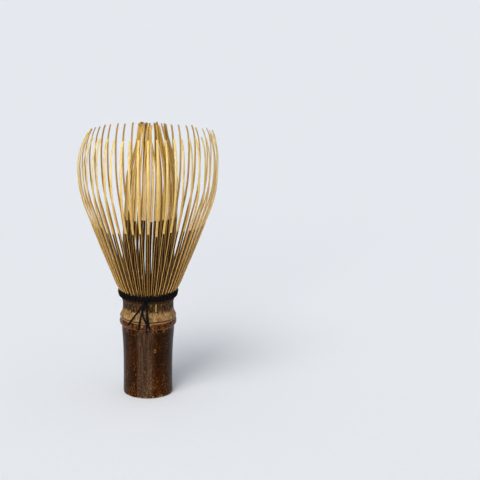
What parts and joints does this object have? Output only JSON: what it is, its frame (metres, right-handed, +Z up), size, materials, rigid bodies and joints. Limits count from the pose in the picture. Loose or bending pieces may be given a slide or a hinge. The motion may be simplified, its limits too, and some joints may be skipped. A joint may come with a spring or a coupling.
{
  "type": "bamboo tea whisk",
  "caption": "Bamboo tea whisk: hollow dark handle with a node, an outer cage and an inner bunch of springy tines, held apart by a woven black thread.",
  "frame": {"origin": "centre of the handle's flat foot, on the whisk's axis", "axes": "+Z up along the whisk's axis from the foot to the tips of the tines; -Y is the side with the thread's knot; +X is to the right seen from that side"},
  "size_m": [0.06, 0.06, 0.12],
  "materials": {
    "dark_bamboo": "natural gloss of dark bamboo skin, with a raw tan band above the node",
    "tine_bamboo": "raw split bamboo, satin, dark skin left on the lower part of the outer face",
    "black_thread": "matt twisted cotton thread"
  },
  "bodies": {
    "handle": {"handle": "dark_bamboo", "thread_front_weave": "black_thread", "thread_back_weave": "black_thread", "thread_knot": "black_thread"},
    "outer_tine_01": {"outer_tine_01": "tine_bamboo"},
    "outer_tine_02": {"outer_tine_02": "tine_bamboo"},
    "outer_tine_03": {"outer_tine_03": "tine_bamboo"},
    "outer_tine_04": {"outer_tine_04": "tine_bamboo"},
    "outer_tine_05": {"outer_tine_05": "tine_bamboo"},
    "outer_tine_06": {"outer_tine_06": "tine_bamboo"},
    "outer_tine_07": {"outer_tine_07": "tine_bamboo"},
    "outer_tine_08": {"outer_tine_08": "tine_bamboo"},
    "outer_tine_09": {"outer_tine_09": "tine_bamboo"},
    "outer_tine_10": {"outer_tine_10": "tine_bamboo"},
    "outer_tine_11": {"outer_tine_11": "tine_bamboo"},
    "outer_tine_12": {"outer_tine_12": "tine_bamboo"},
    "outer_tine_13": {"outer_tine_13": "tine_bamboo"},
    "outer_tine_14": {"outer_tine_14": "tine_bamboo"},
    "outer_tine_15": {"outer_tine_15": "tine_bamboo"},
    "outer_tine_16": {"outer_tine_16": "tine_bamboo"},
    "outer_tine_17": {"outer_tine_17": "tine_bamboo"},
    "outer_tine_18": {"outer_tine_18": "tine_bamboo"},
    "outer_tine_19": {"outer_tine_19": "tine_bamboo"},
    "outer_tine_20": {"outer_tine_20": "tine_bamboo"},
    "outer_tine_21": {"outer_tine_21": "tine_bamboo"},
    "outer_tine_22": {"outer_tine_22": "tine_bamboo"},
    "outer_tine_23": {"outer_tine_23": "tine_bamboo"},
    "outer_tine_24": {"outer_tine_24": "tine_bamboo"},
    "outer_tine_25": {"outer_tine_25": "tine_bamboo"},
    "outer_tine_26": {"outer_tine_26": "tine_bamboo"},
    "outer_tine_27": {"outer_tine_27": "tine_bamboo"},
    "outer_tine_28": {"outer_tine_28": "tine_bamboo"},
    "outer_tine_29": {"outer_tine_29": "tine_bamboo"},
    "outer_tine_30": {"outer_tine_30": "tine_bamboo"},
    "outer_tine_31": {"outer_tine_31": "tine_bamboo"},
    "outer_tine_32": {"outer_tine_32": "tine_bamboo"},
    "outer_tine_33": {"outer_tine_33": "tine_bamboo"},
    "outer_tine_34": {"outer_tine_34": "tine_bamboo"},
    "outer_tine_35": {"outer_tine_35": "tine_bamboo"},
    "outer_tine_36": {"outer_tine_36": "tine_bamboo"},
    "outer_tine_37": {"outer_tine_37": "tine_bamboo"},
    "outer_tine_38": {"outer_tine_38": "tine_bamboo"},
    "outer_tine_39": {"outer_tine_39": "tine_bamboo"},
    "outer_tine_40": {"outer_tine_40": "tine_bamboo"},
    "outer_tine_41": {"outer_tine_41": "tine_bamboo"},
    "outer_tine_42": {"outer_tine_42": "tine_bamboo"},
    "outer_tine_43": {"outer_tine_43": "tine_bamboo"},
    "outer_tine_44": {"outer_tine_44": "tine_bamboo"},
    "outer_tine_45": {"outer_tine_45": "tine_bamboo"},
    "outer_tine_46": {"outer_tine_46": "tine_bamboo"},
    "outer_tine_47": {"outer_tine_47": "tine_bamboo"},
    "outer_tine_48": {"outer_tine_48": "tine_bamboo"},
    "inner_tines_1": {"inner_tines_1": "tine_bamboo"},
    "inner_tines_2": {"inner_tines_2": "tine_bamboo"},
    "inner_tines_3": {"inner_tines_3": "tine_bamboo"},
    "inner_tines_4": {"inner_tines_4": "tine_bamboo"},
    "inner_tines_5": {"inner_tines_5": "tine_bamboo"},
    "inner_tines_6": {"inner_tines_6": "tine_bamboo"},
    "inner_tines_7": {"inner_tines_7": "tine_bamboo"},
    "inner_tines_8": {"inner_tines_8": "tine_bamboo"}
  },
  "joints": [
    {"name": "outer_tine_01_flex", "type": "hinge", "parent": "handle", "child": "outer_tine_01", "pos_m": [0.0118, 0, 0.0455], "axis": [0, 1, 0], "range_deg": [-8, 5], "stiffness_Nm_per_rad": 0.0027},
    {"name": "outer_tine_02_flex", "type": "hinge", "parent": "handle", "child": "outer_tine_02", "pos_m": [0.0117, 0.00154, 0.0455], "axis": [-0.1305, 0.9914, 0], "range_deg": [-8, 5], "stiffness_Nm_per_rad": 0.0027},
    {"name": "outer_tine_03_flex", "type": "hinge", "parent": "handle", "child": "outer_tine_03", "pos_m": [0.0114, 0.00305, 0.0455], "axis": [-0.2588, 0.9659, 0], "range_deg": [-8, 5], "stiffness_Nm_per_rad": 0.0027},
    {"name": "outer_tine_04_flex", "type": "hinge", "parent": "handle", "child": "outer_tine_04", "pos_m": [0.0109, 0.00452, 0.0455], "axis": [-0.3827, 0.9239, 0], "range_deg": [-8, 5], "stiffness_Nm_per_rad": 0.0027},
    {"name": "outer_tine_05_flex", "type": "hinge", "parent": "handle", "child": "outer_tine_05", "pos_m": [0.01022, 0.0059, 0.0455], "axis": [-0.5, 0.866, 0], "range_deg": [-8, 5], "stiffness_Nm_per_rad": 0.0027},
    {"name": "outer_tine_06_flex", "type": "hinge", "parent": "handle", "child": "outer_tine_06", "pos_m": [0.00936, 0.00718, 0.0455], "axis": [-0.6088, 0.7934, 0], "range_deg": [-8, 5], "stiffness_Nm_per_rad": 0.0027},
    {"name": "outer_tine_07_flex", "type": "hinge", "parent": "handle", "child": "outer_tine_07", "pos_m": [0.00834, 0.00834, 0.0455], "axis": [-0.7071, 0.7071, 0], "range_deg": [-8, 5], "stiffness_Nm_per_rad": 0.0027},
    {"name": "outer_tine_08_flex", "type": "hinge", "parent": "handle", "child": "outer_tine_08", "pos_m": [0.00718, 0.00936, 0.0455], "axis": [-0.7934, 0.6088, 0], "range_deg": [-8, 5], "stiffness_Nm_per_rad": 0.0027},
    {"name": "outer_tine_09_flex", "type": "hinge", "parent": "handle", "child": "outer_tine_09", "pos_m": [0.0059, 0.01022, 0.0455], "axis": [-0.866, 0.5, 0], "range_deg": [-8, 5], "stiffness_Nm_per_rad": 0.0027},
    {"name": "outer_tine_10_flex", "type": "hinge", "parent": "handle", "child": "outer_tine_10", "pos_m": [0.00452, 0.0109, 0.0455], "axis": [-0.9239, 0.3827, 0], "range_deg": [-8, 5], "stiffness_Nm_per_rad": 0.0027},
    {"name": "outer_tine_11_flex", "type": "hinge", "parent": "handle", "child": "outer_tine_11", "pos_m": [0.00305, 0.0114, 0.0455], "axis": [-0.9659, 0.2588, 0], "range_deg": [-8, 5], "stiffness_Nm_per_rad": 0.0027},
    {"name": "outer_tine_12_flex", "type": "hinge", "parent": "handle", "child": "outer_tine_12", "pos_m": [0.00154, 0.0117, 0.0455], "axis": [-0.9914, 0.1305, 0], "range_deg": [-8, 5], "stiffness_Nm_per_rad": 0.0027},
    {"name": "outer_tine_13_flex", "type": "hinge", "parent": "handle", "child": "outer_tine_13", "pos_m": [0, 0.0118, 0.0455], "axis": [-1, 0, 0], "range_deg": [-8, 5], "stiffness_Nm_per_rad": 0.0027},
    {"name": "outer_tine_14_flex", "type": "hinge", "parent": "handle", "child": "outer_tine_14", "pos_m": [-0.00154, 0.0117, 0.0455], "axis": [-0.9914, -0.1305, 0], "range_deg": [-8, 5], "stiffness_Nm_per_rad": 0.0027},
    {"name": "outer_tine_15_flex", "type": "hinge", "parent": "handle", "child": "outer_tine_15", "pos_m": [-0.00305, 0.0114, 0.0455], "axis": [-0.9659, -0.2588, 0], "range_deg": [-8, 5], "stiffness_Nm_per_rad": 0.0027},
    {"name": "outer_tine_16_flex", "type": "hinge", "parent": "handle", "child": "outer_tine_16", "pos_m": [-0.00452, 0.0109, 0.0455], "axis": [-0.9239, -0.3827, 0], "range_deg": [-8, 5], "stiffness_Nm_per_rad": 0.0027},
    {"name": "outer_tine_17_flex", "type": "hinge", "parent": "handle", "child": "outer_tine_17", "pos_m": [-0.0059, 0.01022, 0.0455], "axis": [-0.866, -0.5, 0], "range_deg": [-8, 5], "stiffness_Nm_per_rad": 0.0027},
    {"name": "outer_tine_18_flex", "type": "hinge", "parent": "handle", "child": "outer_tine_18", "pos_m": [-0.00718, 0.00936, 0.0455], "axis": [-0.7934, -0.6088, 0], "range_deg": [-8, 5], "stiffness_Nm_per_rad": 0.0027},
    {"name": "outer_tine_19_flex", "type": "hinge", "parent": "handle", "child": "outer_tine_19", "pos_m": [-0.00834, 0.00834, 0.0455], "axis": [-0.7071, -0.7071, 0], "range_deg": [-8, 5], "stiffness_Nm_per_rad": 0.0027},
    {"name": "outer_tine_20_flex", "type": "hinge", "parent": "handle", "child": "outer_tine_20", "pos_m": [-0.00936, 0.00718, 0.0455], "axis": [-0.6088, -0.7934, 0], "range_deg": [-8, 5], "stiffness_Nm_per_rad": 0.0027},
    {"name": "outer_tine_21_flex", "type": "hinge", "parent": "handle", "child": "outer_tine_21", "pos_m": [-0.01022, 0.0059, 0.0455], "axis": [-0.5, -0.866, 0], "range_deg": [-8, 5], "stiffness_Nm_per_rad": 0.0027},
    {"name": "outer_tine_22_flex", "type": "hinge", "parent": "handle", "child": "outer_tine_22", "pos_m": [-0.0109, 0.00452, 0.0455], "axis": [-0.3827, -0.9239, 0], "range_deg": [-8, 5], "stiffness_Nm_per_rad": 0.0027},
    {"name": "outer_tine_23_flex", "type": "hinge", "parent": "handle", "child": "outer_tine_23", "pos_m": [-0.0114, 0.00305, 0.0455], "axis": [-0.2588, -0.9659, 0], "range_deg": [-8, 5], "stiffness_Nm_per_rad": 0.0027},
    {"name": "outer_tine_24_flex", "type": "hinge", "parent": "handle", "child": "outer_tine_24", "pos_m": [-0.0117, 0.00154, 0.0455], "axis": [-0.1305, -0.9914, 0], "range_deg": [-8, 5], "stiffness_Nm_per_rad": 0.0027},
    {"name": "outer_tine_25_flex", "type": "hinge", "parent": "handle", "child": "outer_tine_25", "pos_m": [-0.0118, 0, 0.0455], "axis": [0, -1, 0], "range_deg": [-8, 5], "stiffness_Nm_per_rad": 0.0027},
    {"name": "outer_tine_26_flex", "type": "hinge", "parent": "handle", "child": "outer_tine_26", "pos_m": [-0.0117, -0.00154, 0.0455], "axis": [0.1305, -0.9914, 0], "range_deg": [-8, 5], "stiffness_Nm_per_rad": 0.0027},
    {"name": "outer_tine_27_flex", "type": "hinge", "parent": "handle", "child": "outer_tine_27", "pos_m": [-0.0114, -0.00305, 0.0455], "axis": [0.2588, -0.9659, 0], "range_deg": [-8, 5], "stiffness_Nm_per_rad": 0.0027},
    {"name": "outer_tine_28_flex", "type": "hinge", "parent": "handle", "child": "outer_tine_28", "pos_m": [-0.0109, -0.00452, 0.0455], "axis": [0.3827, -0.9239, 0], "range_deg": [-8, 5], "stiffness_Nm_per_rad": 0.0027},
    {"name": "outer_tine_29_flex", "type": "hinge", "parent": "handle", "child": "outer_tine_29", "pos_m": [-0.01022, -0.0059, 0.0455], "axis": [0.5, -0.866, 0], "range_deg": [-8, 5], "stiffness_Nm_per_rad": 0.0027},
    {"name": "outer_tine_30_flex", "type": "hinge", "parent": "handle", "child": "outer_tine_30", "pos_m": [-0.00936, -0.00718, 0.0455], "axis": [0.6088, -0.7934, 0], "range_deg": [-8, 5], "stiffness_Nm_per_rad": 0.0027},
    {"name": "outer_tine_31_flex", "type": "hinge", "parent": "handle", "child": "outer_tine_31", "pos_m": [-0.00834, -0.00834, 0.0455], "axis": [0.7071, -0.7071, 0], "range_deg": [-8, 5], "stiffness_Nm_per_rad": 0.0027},
    {"name": "outer_tine_32_flex", "type": "hinge", "parent": "handle", "child": "outer_tine_32", "pos_m": [-0.00718, -0.00936, 0.0455], "axis": [0.7934, -0.6088, 0], "range_deg": [-8, 5], "stiffness_Nm_per_rad": 0.0027},
    {"name": "outer_tine_33_flex", "type": "hinge", "parent": "handle", "child": "outer_tine_33", "pos_m": [-0.0059, -0.01022, 0.0455], "axis": [0.866, -0.5, 0], "range_deg": [-8, 5], "stiffness_Nm_per_rad": 0.0027},
    {"name": "outer_tine_34_flex", "type": "hinge", "parent": "handle", "child": "outer_tine_34", "pos_m": [-0.00452, -0.0109, 0.0455], "axis": [0.9239, -0.3827, 0], "range_deg": [-8, 5], "stiffness_Nm_per_rad": 0.0027},
    {"name": "outer_tine_35_flex", "type": "hinge", "parent": "handle", "child": "outer_tine_35", "pos_m": [-0.00305, -0.0114, 0.0455], "axis": [0.9659, -0.2588, 0], "range_deg": [-8, 5], "stiffness_Nm_per_rad": 0.0027},
    {"name": "outer_tine_36_flex", "type": "hinge", "parent": "handle", "child": "outer_tine_36", "pos_m": [-0.00154, -0.0117, 0.0455], "axis": [0.9914, -0.1305, 0], "range_deg": [-8, 5], "stiffness_Nm_per_rad": 0.0027},
    {"name": "outer_tine_37_flex", "type": "hinge", "parent": "handle", "child": "outer_tine_37", "pos_m": [0, -0.0118, 0.0455], "axis": [1, 0, 0], "range_deg": [-8, 5], "stiffness_Nm_per_rad": 0.0027},
    {"name": "outer_tine_38_flex", "type": "hinge", "parent": "handle", "child": "outer_tine_38", "pos_m": [0.00154, -0.0117, 0.0455], "axis": [0.9914, 0.1305, 0], "range_deg": [-8, 5], "stiffness_Nm_per_rad": 0.0027},
    {"name": "outer_tine_39_flex", "type": "hinge", "parent": "handle", "child": "outer_tine_39", "pos_m": [0.00305, -0.0114, 0.0455], "axis": [0.9659, 0.2588, 0], "range_deg": [-8, 5], "stiffness_Nm_per_rad": 0.0027},
    {"name": "outer_tine_40_flex", "type": "hinge", "parent": "handle", "child": "outer_tine_40", "pos_m": [0.00452, -0.0109, 0.0455], "axis": [0.9239, 0.3827, 0], "range_deg": [-8, 5], "stiffness_Nm_per_rad": 0.0027},
    {"name": "outer_tine_41_flex", "type": "hinge", "parent": "handle", "child": "outer_tine_41", "pos_m": [0.0059, -0.01022, 0.0455], "axis": [0.866, 0.5, 0], "range_deg": [-8, 5], "stiffness_Nm_per_rad": 0.0027},
    {"name": "outer_tine_42_flex", "type": "hinge", "parent": "handle", "child": "outer_tine_42", "pos_m": [0.00718, -0.00936, 0.0455], "axis": [0.7934, 0.6088, 0], "range_deg": [-8, 5], "stiffness_Nm_per_rad": 0.0027},
    {"name": "outer_tine_43_flex", "type": "hinge", "parent": "handle", "child": "outer_tine_43", "pos_m": [0.00834, -0.00834, 0.0455], "axis": [0.7071, 0.7071, 0], "range_deg": [-8, 5], "stiffness_Nm_per_rad": 0.0027},
    {"name": "outer_tine_44_flex", "type": "hinge", "parent": "handle", "child": "outer_tine_44", "pos_m": [0.00936, -0.00718, 0.0455], "axis": [0.6088, 0.7934, 0], "range_deg": [-8, 5], "stiffness_Nm_per_rad": 0.0027},
    {"name": "outer_tine_45_flex", "type": "hinge", "parent": "handle", "child": "outer_tine_45", "pos_m": [0.01022, -0.0059, 0.0455], "axis": [0.5, 0.866, 0], "range_deg": [-8, 5], "stiffness_Nm_per_rad": 0.0027},
    {"name": "outer_tine_46_flex", "type": "hinge", "parent": "handle", "child": "outer_tine_46", "pos_m": [0.0109, -0.00452, 0.0455], "axis": [0.3827, 0.9239, 0], "range_deg": [-8, 5], "stiffness_Nm_per_rad": 0.0027},
    {"name": "outer_tine_47_flex", "type": "hinge", "parent": "handle", "child": "outer_tine_47", "pos_m": [0.0114, -0.00305, 0.0455], "axis": [0.2588, 0.9659, 0], "range_deg": [-8, 5], "stiffness_Nm_per_rad": 0.0027},
    {"name": "outer_tine_48_flex", "type": "hinge", "parent": "handle", "child": "outer_tine_48", "pos_m": [0.0117, -0.00154, 0.0455], "axis": [0.1305, 0.9914, 0], "range_deg": [-8, 5], "stiffness_Nm_per_rad": 0.0027},
    {"name": "inner_tines_1_flex", "type": "hinge", "parent": "handle", "child": "inner_tines_1", "pos_m": [0.00952, 0.00394, 0.0455], "axis": [-0.3827, 0.9239, 0], "range_deg": [0, 4], "stiffness_Nm_per_rad": 0.006},
    {"name": "inner_tines_2_flex", "type": "hinge", "parent": "handle", "child": "inner_tines_2", "pos_m": [0.00394, 0.00952, 0.0455], "axis": [-0.9239, 0.3827, 0], "range_deg": [0, 4], "stiffness_Nm_per_rad": 0.006},
    {"name": "inner_tines_3_flex", "type": "hinge", "parent": "handle", "child": "inner_tines_3", "pos_m": [-0.00394, 0.00952, 0.0455], "axis": [-0.9239, -0.3827, 0], "range_deg": [0, 4], "stiffness_Nm_per_rad": 0.006},
    {"name": "inner_tines_4_flex", "type": "hinge", "parent": "handle", "child": "inner_tines_4", "pos_m": [-0.00952, 0.00394, 0.0455], "axis": [-0.3827, -0.9239, 0], "range_deg": [0, 4], "stiffness_Nm_per_rad": 0.006},
    {"name": "inner_tines_5_flex", "type": "hinge", "parent": "handle", "child": "inner_tines_5", "pos_m": [-0.00952, -0.00394, 0.0455], "axis": [0.3827, -0.9239, 0], "range_deg": [0, 4], "stiffness_Nm_per_rad": 0.006},
    {"name": "inner_tines_6_flex", "type": "hinge", "parent": "handle", "child": "inner_tines_6", "pos_m": [-0.00394, -0.00952, 0.0455], "axis": [0.9239, -0.3827, 0], "range_deg": [0, 4], "stiffness_Nm_per_rad": 0.006},
    {"name": "inner_tines_7_flex", "type": "hinge", "parent": "handle", "child": "inner_tines_7", "pos_m": [0.00394, -0.00952, 0.0455], "axis": [0.9239, 0.3827, 0], "range_deg": [0, 4], "stiffness_Nm_per_rad": 0.006},
    {"name": "inner_tines_8_flex", "type": "hinge", "parent": "handle", "child": "inner_tines_8", "pos_m": [0.00952, -0.00394, 0.0455], "axis": [0.3827, 0.9239, 0], "range_deg": [0, 4], "stiffness_Nm_per_rad": 0.006}
  ]
}
